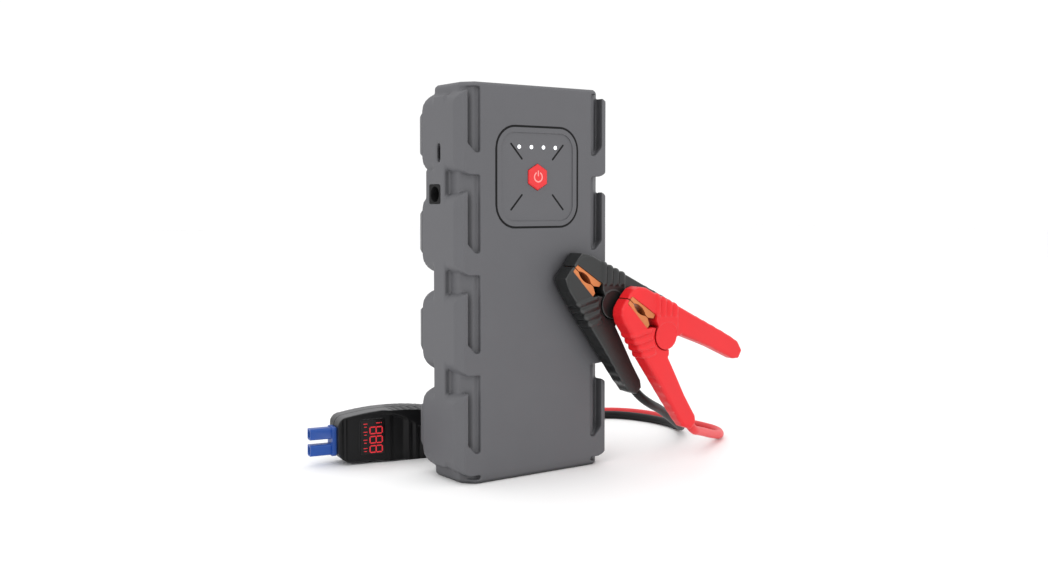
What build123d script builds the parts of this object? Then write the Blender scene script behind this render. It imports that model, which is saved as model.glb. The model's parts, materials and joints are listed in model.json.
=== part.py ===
from build123d import *
import math
import os

os.makedirs("parts", exist_ok=True)

# ---------------------------------------------------------------- driving dimensions (mm)
# Frame: X across the pack, Y from the front face to the rear face, Z up, origin under its middle.
height = 222.0
half_width = 52.3
half_depth = 23.6

# Plan outline of the bumpers: a flat side and a slanted corner.
bumper_corner_x = 49.8
bumper_corner_y = 17.1
# Plan outline of the body behind the bumpers.
core_half_width = 48.5
core_front_y = -16.0
core_rear_y = 9.0
rail_half_width = 42.3
rail_y = 21.0
rear_rail_half_width = 36.5
panel_half_width = 39.0
rear_panel_half_width = 33.5
rim_corner_x = 42.1
rim_height = 2.6
rim_chamfer = 1.6

# Four bumpers up the height, each with a strap at its foot and a pocket above the strap.
bumper_pitch = 55.4
bumper_height = 46.8
first_bumper_z = 4.8
strap_height = 12.4
strip_inner_x = 47.1
pocket_chamfer = 5.0
bumper_front_radius = 8.0
bumper_rear_radius = 14.0
notch_flare = 2.9
rear_notch_step = 1.3
rear_rise = 11.0
spine_front_y = -7.2
spine_rear_y = 4.5

# The cover splits where the rear slant of the bumpers begins.
seam_y = bumper_corner_y
cavity_bottom = 2.6
cavity_top = height - 2.6
inner_front_y = -18.6
inner_half_width = 46.2
inner_rear_half_width = 37.1
rear_wall = 2.6

# Control inset.
control_z = 170.2
control_size = 57.2
control_radius = 13.0
control_gap = 0.4
control_depth = 1.6
dish_size = 50.0
dish_radius = 9.0
dish_depth = 0.5
button_flats = 13.0
button_clearance = 0.25
button_travel = 0.7
led_z = 187.1
led_spacing = 8.45
led_diameter = 2.2

# Ports on the left side.
usb_y = -1.15
usb_z = 183.5
dc_y = 3.2
dc_z = 160.4
dc_opening = (12.1, 10.8)
dc_boss_y = 12.9
dc_boss_z = 163.0
dc_boss_height = 22.0

# Jump socket on the right side, under its flap.
jump_z = 190.0
jump_pitch = 9.6
barrel = 6.6
flap_width = 19.0
flap_height = 36.0
flap_thickness = 2.0

# Bought-in pieces.
cell_size = (70.0, 7.2, 116.0)
cell_pitch = 7.6
first_cell_y = -11.3
cell_floor = 13.0
tray_half_x = 36.8
tray_y = (-16.2, 16.6)
tray_floor = 11.5
tray_wall = 1.2
screw_x = 33.0
screw_heights = (7.5, 136.0, 214.5)
board_y = 8.0
board_thickness = 1.6

# Control box of the lead set: its own plane, X along the box from the plug to the leads.
box_origin = (-83.4, 68.2, 0.0)
box_turn = -10.0
box_length = 79.0
box_half_thickness = 9.5
box_height = 31.8
box_wall = 2.0
plug_z = 14.2

# Leads and clamps.
lead_diameter = 5.4
lead_z = lead_diameter / 2 + 0.05
clamp_slope = 39.6
clamp_pivots = {"red": (73.3, -45.4, 77.4), "black": (44.1, -31.2, 96.2)}
handle_growth = {"red": 0.0, "black": -4.5}
handle_foot_x = 38
arm_half = 5.75
cheek_half = 6.6
lug_half = 4.6
lug_play = 0.2
pivot_radius = 2.0
cheek_radius = 8.2
cheek_slot_radius = 8.5
lug_radius = 7.8
slot_radius = 8.1
spring_pocket_radius = 5.8
spring_pocket_half = 3.2
plate_half = 5.0
exit_reach = 5.0


def write(builder, name):
    builder.part.label = name
    export_step(builder.part, f"parts/{name}.step")


def mirrored(points):
    """The points and their mirror images across the YZ plane, as one closed outline."""
    return points + [(-x, y) for x, y in reversed(points)]


# ---------------------------------------------------------------- pack body, still in one solid
core_plan = mirrored([
    (panel_half_width, -rail_y),
    (rail_half_width, -rail_y),
    (core_half_width, core_front_y),
    (core_half_width, core_rear_y),
    (rear_rail_half_width, rail_y),
])
bumper_plan = mirrored([
    (bumper_corner_x, -half_depth),
    (half_width, -bumper_corner_y),
    (half_width, bumper_corner_y),
    (bumper_corner_x, half_depth),
])
rim_plan = mirrored([
    (rim_corner_x, -half_depth),
    (core_half_width, core_front_y),
    (core_half_width, core_rear_y),
    (rear_panel_half_width, half_depth),
])
bumper_floors = [first_bumper_z + bumper_pitch * k for k in range(4)]
notch_middles = [z + bumper_height + (bumper_pitch - bumper_height) / 2 for z in bumper_floors[:3]]

with BuildPart() as body:
    with BuildSketch():
        with BuildLine():
            Polyline(*bumper_plan, close=True)
        make_face()
    extrude(amount=height)
    # Rounded corners of the four bumpers seen from the front.
    with BuildSketch(Plane.XZ.offset(-half_depth - 1)):
        for floor in bumper_floors:
            with Locations((0, floor + bumper_height / 2)):
                RectangleRounded(2 * half_width, bumper_height, bumper_front_radius)
    extrude(amount=2 * half_depth + 2, mode=Mode.INTERSECT)
    # Their outline seen from the side: flared towards the spine, round at the rear.
    with BuildSketch(Plane.YZ.offset(-half_width - 1)):
        for floor in bumper_floors:
            top = floor + bumper_height
            with BuildLine():
                lower = Polyline(
                    (-half_depth - 1, floor),
                    (-bumper_corner_y, floor),
                    (spine_front_y, floor + notch_flare),
                    (spine_rear_y, floor - rear_notch_step),
                )
                low_round = RadiusArc(
                    lower @ 1, (bumper_corner_y, floor + rear_rise), -bumper_rear_radius
                )
                back = Polyline(
                    low_round @ 1,
                    (half_depth + 1, floor + rear_rise + 2),
                    (half_depth + 1, top - rear_rise - 2),
                    (bumper_corner_y, top - rear_rise),
                )
                high_round = RadiusArc(
                    back @ 1, (spine_rear_y, top + rear_notch_step), -bumper_rear_radius
                )
                Polyline(
                    high_round @ 1,
                    (spine_front_y, top - notch_flare),
                    (-bumper_corner_y, top),
                    (-half_depth - 1, top),
                    lower @ 0,
                )
            make_face()
    extrude(amount=2 * half_width + 2, mode=Mode.INTERSECT)
    # Pockets beside the front panel, above each strap and open at the top.
    with BuildSketch(Plane.XZ.offset(half_depth + 1)):
        for floor in bumper_floors:
            strap_top = floor + strap_height
            pocket = [
                (panel_half_width, strap_top),
                (strip_inner_x - pocket_chamfer, strap_top),
                (strip_inner_x, strap_top + pocket_chamfer),
                (strip_inner_x, floor + bumper_height + 1),
                (panel_half_width, floor + bumper_height + 1),
            ]
            for side in (1, -1):
                with BuildLine():
                    Polyline(*[(side * x, z) for x, z in pocket], close=True)
                make_face()
    extrude(amount=-(half_depth + 1 + core_front_y + 2), mode=Mode.SUBTRACT)
    # The body between and behind the bumpers.
    with BuildSketch():
        with BuildLine():
            Polyline(*core_plan, close=True)
        make_face()
    extrude(amount=height)
    # Front and rear panels.
    with BuildSketch(Plane.XZ.offset(half_depth)):
        with Locations((0, height / 2)):
            Rectangle(2 * panel_half_width, height)
    extrude(amount=-half_depth)
    with BuildSketch(Plane.XZ.offset(-half_depth)):
        with Locations((0, height / 2)):
            Rectangle(2 * rear_panel_half_width, height)
    extrude(amount=half_depth)
    # Spines up both sides, level with the bumpers.
    with BuildSketch(Plane.XY.offset(first_bumper_z + notch_flare)):
        with Locations((0, (spine_front_y + spine_rear_y) / 2)):
            Rectangle(2 * half_width, spine_rear_y - spine_front_y)
    extrude(amount=3 * bumper_pitch + bumper_height - 2 * notch_flare)
    # Boss round the charging socket.
    with BuildSketch(Plane.YZ.offset(-half_width)):
        with Locations(((spine_rear_y + dc_boss_y) / 2, dc_boss_z)):
            Rectangle(dc_boss_y - spine_rear_y, dc_boss_height)
    extrude(amount=half_width - core_half_width + 2)
    # Rims at the head and the base.
    for rim_floor in (0, height - rim_height):
        with BuildSketch(Plane.XY.offset(rim_floor)):
            with BuildLine():
                Polyline(*rim_plan, close=True)
            make_face()
        extrude(amount=rim_height)
    rim_edges = body.edges().filter_by(GeomType.LINE).filter_by(
        lambda e: abs((e @ 0).Z - (e @ 1).Z) < 0.01
        and ((e @ 0).Z < 0.01 or (e @ 0).Z > height - 0.01)
    )
    chamfer(rim_edges, rim_chamfer)


# ---------------------------------------------------------------- covers
cavity_plan = mirrored([
    (41.4, inner_front_y),
    (inner_half_width, -15.1),
    (inner_half_width, 8.1),
    (inner_rear_half_width, seam_y + 0.1),
])
screw_points = [(x, z) for x in (-screw_x, screw_x) for z in screw_heights]
button_post_x = 22.8
button_post_rise = 18.0
button_posts = [(x, control_z + dz) for x in (-button_post_x, button_post_x)
                for dz in (-button_post_rise, button_post_rise)]
button_board_front = -12.5
button_board_thickness = 1.2
board_posts = [(x, z) for x in (-28.0, 28.0) for z in (150.0, 198.0)]
screw_radius = 1.5
boss_radius = 3.4
small_screw_radius = 0.9
flap_x = 50.1
pin_x = 50.7
pin_y = 10.7
flap_pin_radius = 0.7
knuckle_radius = 1.5


def at_y(y):
    """A plane facing the front, its own X across the pack and its Y up."""
    return Plane.XZ.offset(-y)


def slab_y(y0, y1):
    """How far to extrude a sketch on at_y(y1) so that it reaches forward to y0."""
    return y1 - y0


with BuildPart() as front_cover:
    add(body.part)
    split(bisect_by=at_y(seam_y), keep=Keep.TOP)
    with BuildSketch(Plane.XY.offset(cavity_bottom)):
        with BuildLine():
            Polyline(*cavity_plan, close=True)
        make_face()
    extrude(amount=cavity_top - cavity_bottom, mode=Mode.SUBTRACT)
    # Thinner wall in front of the cells.
    with BuildSketch(at_y(inner_front_y + 0.1)):
        with Locations((0, 71)):
            Rectangle(70, 118)
    extrude(amount=2.1, mode=Mode.SUBTRACT)
    # Screw bosses, posts for the button board, and two ribs under the battery tray.
    with BuildSketch(at_y(seam_y)):
        with Locations(*screw_points):
            Circle(boss_radius)
    extrude(amount=slab_y(inner_front_y - 0.1, seam_y))
    with BuildSketch(at_y(button_board_front)):
        with Locations(*button_posts):
            Circle(2.0)
    extrude(amount=slab_y(inner_front_y - 0.1, button_board_front))
    with BuildSketch(Plane.XY.offset(cavity_bottom - 0.1)):
        with Locations((-20, -1), (20, -1)):
            Rectangle(3, 35)
    extrude(amount=tray_floor - cavity_bottom + 0.1)
    with BuildSketch(at_y(seam_y)):
        with Locations(*screw_points):
            Circle(screw_radius)
    extrude(amount=14, mode=Mode.SUBTRACT)
    with BuildSketch(at_y(button_board_front)):
        with Locations(*button_posts):
            Circle(small_screw_radius)
    extrude(amount=4.5, mode=Mode.SUBTRACT)
    # Seat of the control inset and the window behind it.
    with BuildSketch(at_y(-half_depth + control_depth)):
        with Locations((0, control_z)):
            RectangleRounded(control_size, control_size, control_radius)
    extrude(amount=control_depth + 1, mode=Mode.SUBTRACT)
    with BuildSketch(at_y(inner_front_y + 0.1)):
        with Locations((0, control_z)):
            RectangleRounded(40, 40, 5)
    extrude(amount=5, mode=Mode.SUBTRACT)
    # Ports on the left side.
    with BuildSketch(Plane.YZ.offset(-half_width - 1)):
        with Locations((usb_y, usb_z)):
            SlotOverall(10.4, 3.5, rotation=90)
        with Locations((dc_y, dc_z)):
            Rectangle(*dc_opening)
    extrude(amount=half_width - inner_half_width + 2.5, mode=Mode.SUBTRACT)
    # Jump socket opening and the seat of its flap on the right side.
    with BuildSketch(Plane.YZ.offset(inner_half_width - 1)):
        with Locations((0, jump_z)):
            Rectangle(14.0, 24.0)
    extrude(amount=8, mode=Mode.SUBTRACT)
    with BuildSketch(Plane.YZ.offset(flap_x - 0.1)):
        with Locations((0, jump_z)):
            Rectangle(flap_width + 0.6, flap_height + 0.6)
    extrude(amount=4, mode=Mode.SUBTRACT)
    with BuildSketch(Plane.YZ.offset(48.9)):
        with Locations((pin_y, jump_z)):
            Rectangle(4.0, flap_height + 0.6)
    extrude(amount=5, mode=Mode.SUBTRACT)
    with BuildSketch(Plane.XY.offset(jump_z - flap_height / 2 - 2.3)):
        with Locations((pin_x, pin_y)):
            Circle(flap_pin_radius)
    extrude(amount=flap_height + 4.6, mode=Mode.SUBTRACT)
write(front_cover, "front_cover")

with BuildPart() as rear_cover:
    add(body.part)
    split(bisect_by=at_y(seam_y), keep=Keep.BOTTOM)
    with BuildSketch(at_y(half_depth - rear_wall)):
        with Locations((0, height / 2)):
            Rectangle(62, height - 8)
    extrude(amount=8, mode=Mode.SUBTRACT)
    with BuildSketch(at_y(half_depth - rear_wall + 0.1)):
        with Locations(*board_posts):
            Circle(2.6)
    extrude(amount=slab_y(board_y + board_thickness, half_depth - rear_wall + 0.1))
    with BuildSketch(at_y(board_y + board_thickness + 7)):
        with Locations(*board_posts):
            Circle(small_screw_radius)
    extrude(amount=8, mode=Mode.SUBTRACT)
    with BuildSketch(at_y(half_depth + 1)):
        with Locations(*screw_points):
            Circle(screw_radius + 0.1)
    extrude(amount=12, mode=Mode.SUBTRACT)
    with BuildSketch(at_y(half_depth + 1)):
        with Locations(*screw_points):
            Circle(2.9)
    extrude(amount=3, mode=Mode.SUBTRACT)
write(rear_cover, "rear_cover")

with BuildPart() as cover_screws:
    with BuildSketch(at_y(half_depth - 0.4)):
        with Locations(*screw_points):
            Circle(2.8)
    extrude(amount=1.6)
    with BuildSketch(at_y(half_depth - 1.9)):
        with Locations(*screw_points):
            Circle(screw_radius)
    extrude(amount=16)
    with BuildSketch(at_y(half_depth - 0.4)):
        with Locations(*screw_points):
            RegularPolygon(1.3, 6)
    extrude(amount=1.0, mode=Mode.SUBTRACT)
write(cover_screws, "cover_screws")

# ---------------------------------------------------------------- control inset and button
with BuildPart() as control_panel:
    with BuildSketch(at_y(-half_depth + control_depth)):
        with Locations((0, control_z)):
            RectangleRounded(control_size - 2 * control_gap, control_size - 2 * control_gap,
                             control_radius - control_gap)
    extrude(amount=control_depth)
    with BuildSketch(at_y(-half_depth + dish_depth)):
        with Locations((0, control_z)):
            RectangleRounded(dish_size, dish_size, dish_radius)
    extrude(amount=1, mode=Mode.SUBTRACT)
    with BuildSketch(at_y(-half_depth + control_depth + 0.1)):
        with Locations((0, control_z)):
            RegularPolygon(button_flats / 2 + button_clearance, 6, major_radius=False, rotation=30)
        for k in range(4):
            with Locations(((k - 1.5) * led_spacing, led_z)):
                Circle(led_diameter / 2)
    extrude(amount=2, mode=Mode.SUBTRACT)
    # Four slanting grooves point at the button.
    with BuildSketch(at_y(-half_depth + dish_depth + 0.4)):
        for side in (1, -1):
            for rise in (1, -1):
                with Locations((side * 14.5, control_z + rise * 14.3)):
                    SlotOverall(12.2, 1.0, rotation=side * rise * 48)
    extrude(amount=1, mode=Mode.SUBTRACT)
write(control_panel, "control_panel")

with BuildPart() as power_button:
    with BuildSketch(at_y(-half_depth + control_depth)):
        with Locations((0, control_z)):
            RegularPolygon(button_flats / 2, 6, major_radius=False, rotation=30)
    extrude(amount=control_depth + 0.5)
    cap_edges = power_button.faces().sort_by(Axis.Y)[0].edges()
    chamfer(cap_edges, 0.6)
    with BuildSketch(at_y(-20.9)):
        with Locations((0, control_z)):
            RegularPolygon(button_flats / 2 + 1.2, 6, major_radius=False, rotation=30)
    extrude(amount=1.0)
    with BuildSketch(at_y(-16.4)):
        with Locations((0, control_z)):
            Circle(3.0)
    extrude(amount=6)
    # Seat of the light guide: a broken ring and a short bar.
    with BuildSketch(at_y(-half_depth + 0.4)):
        with Locations((0, control_z)):
            Circle(3.1)
            Circle(2.3, mode=Mode.SUBTRACT)
        with Locations((0, control_z + 3)):
            Rectangle(2.4, 3, mode=Mode.SUBTRACT)
        with Locations((0, control_z + 2.1)):
            Rectangle(0.8, 3.2)
    extrude(amount=2, mode=Mode.SUBTRACT)
write(power_button, "power_button")

with BuildPart() as power_symbol:
    with BuildSketch(at_y(-half_depth + 0.4)):
        with Locations((0, control_z)):
            Circle(3.1)
            Circle(2.3, mode=Mode.SUBTRACT)
        with Locations((0, control_z + 3)):
            Rectangle(2.4, 3, mode=Mode.SUBTRACT)
        with Locations((0, control_z + 2.1)):
            Rectangle(0.8, 3.2)
    extrude(amount=0.85)
write(power_symbol, "power_symbol")

led_points = [((k - 1.5) * led_spacing, led_z) for k in range(4)]
with BuildPart() as led_lenses:
    with BuildSketch(at_y(-13.9)):
        with Locations(*led_points):
            Circle(led_diameter / 2)
    extrude(amount=half_depth - dish_depth + 0.1 - 13.9)
write(led_lenses, "led_lenses")

with BuildPart() as led_chips:
    with BuildSketch(at_y(button_board_front)):
        with Locations(*led_points):
            Rectangle(3.0, 1.8)
    extrude(amount=1.4)
write(led_chips, "led_chips")

with BuildPart() as button_board:
    with BuildSketch(at_y(button_board_front + button_board_thickness)):
        with Locations((0, control_z)):
            RectangleRounded(50, 44, 2)
        with Locations(*button_posts):
            Circle(small_screw_radius, mode=Mode.SUBTRACT)
    extrude(amount=button_board_thickness)
write(button_board, "button_board")

with BuildPart() as tactile_switch:
    with BuildSketch(at_y(button_board_front)):
        with Locations((0, control_z)):
            Rectangle(6, 6)
    extrude(amount=2.7)
    with BuildSketch(at_y(button_board_front - 0.4)):
        with Locations((0, control_z)):
            Circle(1.8)
    extrude(amount=3, mode=Mode.SUBTRACT)
write(tactile_switch, "tactile_switch")

with BuildPart() as switch_plunger:
    with BuildSketch(at_y(-13.9)):
        with Locations((0, control_z)):
            Circle(1.7)
    extrude(amount=2.5)
write(switch_plunger, "switch_plunger")

# ---------------------------------------------------------------- battery
for k in range(4):
    with BuildPart() as cell:
        with BuildSketch(Plane.XY.offset(cell_floor)):
            with Locations((0, first_cell_y + k * cell_pitch)):
                RectangleRounded(cell_size[0], cell_size[1], 3.0)
        extrude(amount=cell_size[2])
    write(cell, f"battery_cell_{k + 1}")

tray_middle = (tray_y[0] + tray_y[1]) / 2
with BuildPart() as battery_tray:
    with BuildSketch(Plane.XY.offset(tray_floor)):
        with Locations((0, tray_middle)):
            Rectangle(2 * tray_half_x, tray_y[1] - tray_y[0])
    extrude(amount=cell_size[2] - 4)
    with BuildSketch(Plane.XY.offset(cell_floor)):
        with Locations((0, tray_middle)):
            Rectangle(2 * (tray_half_x - tray_wall), tray_y[1] - tray_y[0] - 2 * tray_wall)
    extrude(amount=cell_size[2], mode=Mode.SUBTRACT)
write(battery_tray, "battery_tray")

cell_top = cell_floor + cell_size[2]
with BuildPart() as battery_tabs:
    for k, x in enumerate((-18, 8, -18)):
        with BuildSketch(Plane.XY.offset(cell_top)):
            with Locations((x, first_cell_y + (k + 0.5) * cell_pitch)):
                Rectangle(12, 12)
        extrude(amount=1.0)
    for y in (-9.0, 7.0):
        with BuildSketch(Plane.XY.offset(cell_top)):
            with Locations((26, y)):
                Rectangle(8, 11)
        extrude(amount=4.0)
write(battery_tabs, "battery_tabs")

with BuildPart() as foam_pad:
    with BuildSketch(at_y(tray_y[0] - 0.1)):
        with Locations((0, 71)):
            Rectangle(66, 112)
    extrude(amount=4.2)
write(foam_pad, "foam_pad")

# ---------------------------------------------------------------- boards
with BuildPart() as main_board:
    with BuildSketch(at_y(board_y + board_thickness)):
        with Locations((0, 174)):
            Rectangle(68, 60)
        with Locations(*board_posts):
            Circle(small_screw_radius, mode=Mode.SUBTRACT)
    extrude(amount=board_thickness)
write(main_board, "main_board")

with BuildPart() as capacitors:
    with BuildSketch(at_y(board_y)):
        with Locations((-22, 160), (-22, 172), (-11, 160)):
            Circle(4.0)
    extrude(amount=9)
write(capacitors, "capacitors")

with BuildPart() as power_transistors:
    with BuildSketch(at_y(board_y)):
        for k in range(4):
            with Locations((-22 + 9 * k, 190)):
                Rectangle(6.5, 9)
    extrude(amount=2.4)
write(power_transistors, "power_transistors")

with BuildPart() as inductor:
    with BuildSketch(at_y(board_y)):
        with Locations((-8, 174)):
            RectangleRounded(12, 12, 2)
    extrude(amount=6)
write(inductor, "inductor")

with BuildPart() as board_screws:
    with BuildSketch(at_y(board_y)):
        with Locations(*board_posts):
            Circle(1.9)
    extrude(amount=1.3)
    with BuildSketch(at_y(board_y + board_thickness + 5)):
        with Locations(*board_posts):
            Circle(small_screw_radius)
    extrude(amount=board_thickness + 5.5)
    with BuildSketch(at_y(button_board_front + button_board_thickness + 1.3)):
        with Locations(*button_posts):
            Circle(1.9)
    extrude(amount=1.3)
    with BuildSketch(at_y(button_board_front + button_board_thickness + 0.5)):
        with Locations(*button_posts):
            Circle(small_screw_radius)
    extrude(amount=5)
write(board_screws, "board_screws")

# ---------------------------------------------------------------- ports
port_board_x = -44.0
with BuildPart() as port_board:
    with BuildSketch(Plane.YZ.offset(port_board_x)):
        with Locations((-1.5, 172)):
            Rectangle(18, 46)
    extrude(amount=1.4)
write(port_board, "port_board")

with BuildPart() as usb_c_port:
    with BuildSketch(Plane.YZ.offset(-half_width + 0.8)):
        with Locations((usb_y, usb_z)):
            SlotOverall(9.0, 3.2, rotation=90)
    extrude(amount=half_width - 0.8 + port_board_x)
    with BuildSketch(Plane.YZ.offset(-half_width + 0.7)):
        with Locations((usb_y, usb_z)):
            SlotOverall(8.4, 2.6, rotation=90)
    extrude(amount=6.4, mode=Mode.SUBTRACT)
    with BuildSketch(Plane.YZ.offset(-half_width + 1.6)):
        with Locations((usb_y, usb_z)):
            Rectangle(0.7, 6.7)
    extrude(amount=6)
write(usb_c_port, "usb_c_port")

dc_face_x = -half_width + 0.3
dc_floor_x = -45.6
with BuildPart() as dc_jack:
    with BuildSketch(Plane.YZ.offset(dc_face_x)):
        with Locations((dc_y, dc_z)):
            Rectangle(dc_opening[0] - 0.2, dc_opening[1] - 0.2)
    extrude(amount=port_board_x - dc_face_x)
    with BuildSketch(Plane.YZ.offset(dc_face_x - 0.1)):
        with Locations((dc_y, dc_z)):
            Circle(4.4)
    extrude(amount=dc_floor_x - dc_face_x + 0.1, mode=Mode.SUBTRACT)
    with BuildSketch(Plane.YZ.offset(dc_floor_x - 0.1)):
        with Locations((dc_y, dc_z)):
            Circle(1.0)
    extrude(amount=1.1, mode=Mode.SUBTRACT)
write(dc_jack, "dc_jack")

with BuildPart() as dc_pin:
    with BuildSketch(Plane.YZ.offset(-47.6)):
        with Locations((dc_y, dc_z)):
            Circle(1.0)
    extrude(amount=3.0)
write(dc_pin, "dc_pin")

jump_points = [(0, jump_z - jump_pitch / 2), (0, jump_z + jump_pitch / 2)]
with BuildPart() as jump_socket:
    with BuildSketch(Plane.YZ.offset(34)):
        with Locations((0, jump_z)):
            RectangleRounded(13.6, 23.6, 1.5)
    extrude(amount=15.7)
    with BuildSketch(Plane.YZ.offset(inner_half_width - 2.2)):
        with Locations((0, jump_z)):
            Rectangle(15.6, 28)
    extrude(amount=2.2)
    with BuildSketch(Plane.YZ.offset(35.7)):
        with Locations(*jump_points):
            RectangleRounded(barrel + 0.4, barrel + 0.4, 1.2)
    extrude(amount=15, mode=Mode.SUBTRACT)
    with BuildSketch(Plane.YZ.offset(33)):
        with Locations(*jump_points):
            Circle(1.9)
    extrude(amount=4, mode=Mode.SUBTRACT)
write(jump_socket, "jump_socket")

with BuildPart() as jump_contacts:
    with BuildSketch(Plane.YZ.offset(29)):
        with Locations(*jump_points):
            Circle(1.9)
    extrude(amount=14.5)
write(jump_contacts, "jump_contacts")

with BuildPart() as jump_port_cover:
    with BuildSketch(Plane.YZ.offset(flap_x)):
        with Locations((-0.15, jump_z)):
            RectangleRounded(flap_width - 0.3, flap_height, 2.0)
        with Locations((pin_y - 2.6, jump_z)):
            Rectangle(5.0, flap_height)
    extrude(amount=flap_thickness)
    with BuildSketch(Plane.XY.offset(jump_z - flap_height / 2)):
        with Locations((pin_x, pin_y)):
            Circle(knuckle_radius)
    extrude(amount=flap_height)
    with BuildSketch(Plane.XY.offset(jump_z - flap_height / 2 - 1)):
        with Locations((pin_x, pin_y)):
            Circle(flap_pin_radius + 0.05)
    extrude(amount=flap_height + 2, mode=Mode.SUBTRACT)
write(jump_port_cover, "jump_port_cover")

with BuildPart() as jump_cover_pin:
    with BuildSketch(Plane.XY.offset(jump_z - flap_height / 2 - 2.2)):
        with Locations((pin_x, pin_y)):
            Circle(flap_pin_radius)
    extrude(amount=flap_height + 4.4)
write(jump_cover_pin, "jump_cover_pin")

# ---------------------------------------------------------------- wires and leads


def corner_radii(points):
    """The largest arc that both runs at each corner allow."""
    radii = []
    for before, corner, after in zip(points, points[1:], points[2:]):
        first = Vector(*corner) - Vector(*before)
        second = Vector(*after) - Vector(*corner)
        turn = math.radians(first.get_angle(second))
        radii.append(0.45 * min(first.length, second.length) / math.tan(turn / 2))
    return radii


def tube(points, diameter, name):
    radii = corner_radii(points)
    with BuildPart() as cord:
        with BuildLine() as path:
            FilletPolyline(*points, radius=radii)
        with BuildSketch(Plane(origin=path.line @ 0, z_dir=path.line % 0)):
            Circle(diameter / 2)
        sweep()
    section = math.pi * diameter**2 / 4
    length = path.wire().length
    print(name, "length", round(length, 1), "volume ratio",
          round(cord.part.volume / (section * length), 4),
          "radii", [round(r) for r in radii])
    write(cord, name)


positive_route = [
    (26, 3.5, 133), (24, 3.5, 148), (17, 3, 163), (12, 2, 178), (12.5, 0.5, 190),
    (20, 0, 194.6), (29, 0, 194.8),
]
negative_route = [
    (26, -6.5, 133), (26, -6, 148), (22, -4.5, 162), (18, -1.5, 175), (20.5, 0, 184.4),
    (29, 0, 185.2),
]
tube(positive_route, 4.0, "positive_wire")
tube(negative_route, 4.0, "negative_wire")

# ---------------------------------------------------------------- control box of the lead set
box_dir = Vector(math.cos(math.radians(box_turn)), math.sin(math.radians(box_turn)), 0)
box_side = Vector(box_dir.Y, -box_dir.X, 0)
box_plane = Plane(origin=box_origin, x_dir=box_dir, z_dir=box_side)


def box_at(y):
    """The box's elevation plane, y to the rear of the box's middle."""
    return box_plane.offset(-y)


def box_point(x, y, z):
    """A point given along the box, to its rear and up, in the pack's frame."""
    return tuple(Vector(*box_origin) + box_dir * x - box_side * y + Vector(0, 0, z))


def box_face(inset):
    """The box seen from its display side, shrunk by inset, in the sketch's own frame."""
    with BuildSketch(Plane.XY, mode=Mode.PRIVATE) as outline:
        with BuildLine():
            left = Line((0, 8), (0, 23.5))
            nose_arc = ThreePointArc(left @ 1, (1.6, 27.4), (6.0, 29.2))
            crown = ThreePointArc(nose_arc @ 1, (40, box_height), (box_length, 25.5))
            right = Line(crown @ 1, (box_length, 7))
            TangentArc((57, 0), right @ 1, tangent=(1, 0))
            Polyline((57, 0), (33, 0), (24, 1.5), (9, 1.5))
            TangentArc((9, 1.5), left @ 0, tangent=(-1, 0))
        make_face()
        if inset:
            offset(amount=-inset)
    return outline.sketch


plug_width = 17.2
plug_depth = 10.4
window_x = (13.5, 28.7)
window_z = (5.4, 26.4)
window_middle = (sum(window_x) / 2, sum(window_z) / 2)
window_size = (window_x[1] - window_x[0], window_z[1] - window_z[0])
box_screw_points = [(9.9, 4.8), (68, 8.5)]
box_post_radius = 2.6
boot_z = 13.0
lead_spread = 3.5

box_cavity_half = box_half_thickness - box_wall
with BuildPart() as box_shell:
    with BuildSketch(box_at(box_half_thickness)):
        add(box_face(0))
    extrude(amount=2 * box_half_thickness)
    with BuildSketch(box_at(box_cavity_half)):
        add(box_face(box_wall))
    extrude(amount=2 * box_cavity_half, mode=Mode.SUBTRACT)
    # Posts for the two screws, openings for the plug and the lead boot.
    with BuildSketch(box_at(box_half_thickness - 1)):
        with Locations(*box_screw_points):
            Circle(box_post_radius)
    extrude(amount=2 * box_half_thickness - 2)
    with BuildSketch(box_at(box_half_thickness + 1)):
        with Locations(*box_screw_points):
            Circle(1.1)
    extrude(amount=box_half_thickness + 8, mode=Mode.SUBTRACT)
    with BuildSketch(box_at(box_half_thickness + 1)):
        with Locations(*box_screw_points):
            Circle(2.1)
    extrude(amount=2.4, mode=Mode.SUBTRACT)
    with BuildSketch(box_at(plug_depth / 2 - 0.6)):
        with Locations((0, plug_z)):
            Rectangle(14, plug_width - 2)
    extrude(amount=plug_depth - 1.2, mode=Mode.SUBTRACT)
    with BuildSketch(box_at(6)):
        with Locations((box_length, boot_z)):
            Rectangle(6, 9)
    extrude(amount=12, mode=Mode.SUBTRACT)

with BuildPart() as box_front_shell:
    add(box_shell.part)
    split(bisect_by=box_at(0), keep=Keep.TOP)
    with BuildSketch(box_at(-box_cavity_half + 1)):
        with Locations(window_middle):
            RectangleRounded(window_size[0], window_size[1], 1.2)
    extrude(amount=box_wall + 1, mode=Mode.SUBTRACT)
write(box_front_shell, "box_front_shell")

with BuildPart() as box_rear_shell:
    add(box_shell.part)
    split(bisect_by=box_at(0), keep=Keep.BOTTOM)
write(box_rear_shell, "box_rear_shell")

with BuildPart() as display_window:
    with BuildSketch(box_at(-box_cavity_half)):
        with Locations(window_middle):
            RectangleRounded(window_size[0] - 0.1, window_size[1] - 0.1, 1.15)
    extrude(amount=box_wall - 0.3)
write(display_window, "display_window")

with BuildPart() as display_module:
    with BuildSketch(box_at(-box_cavity_half + 3.4)):
        with Locations(window_middle):
            Rectangle(window_size[0] + 1, window_size[1] - 1.5)
    extrude(amount=3.4)
write(display_module, "display_module")

with BuildPart() as control_board:
    with BuildSketch(box_at(-box_cavity_half + 5.0)):
        with Locations((39.5, 15.5)):
            Rectangle(47, 18)
    extrude(amount=1.6)
write(control_board, "control_board")

with BuildPart() as control_relays:
    with BuildSketch(box_at(6)):
        with Locations((38, 15), (54, 15)):
            Rectangle(13, 15)
    extrude(amount=8.5)
write(control_relays, "control_relays")

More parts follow.
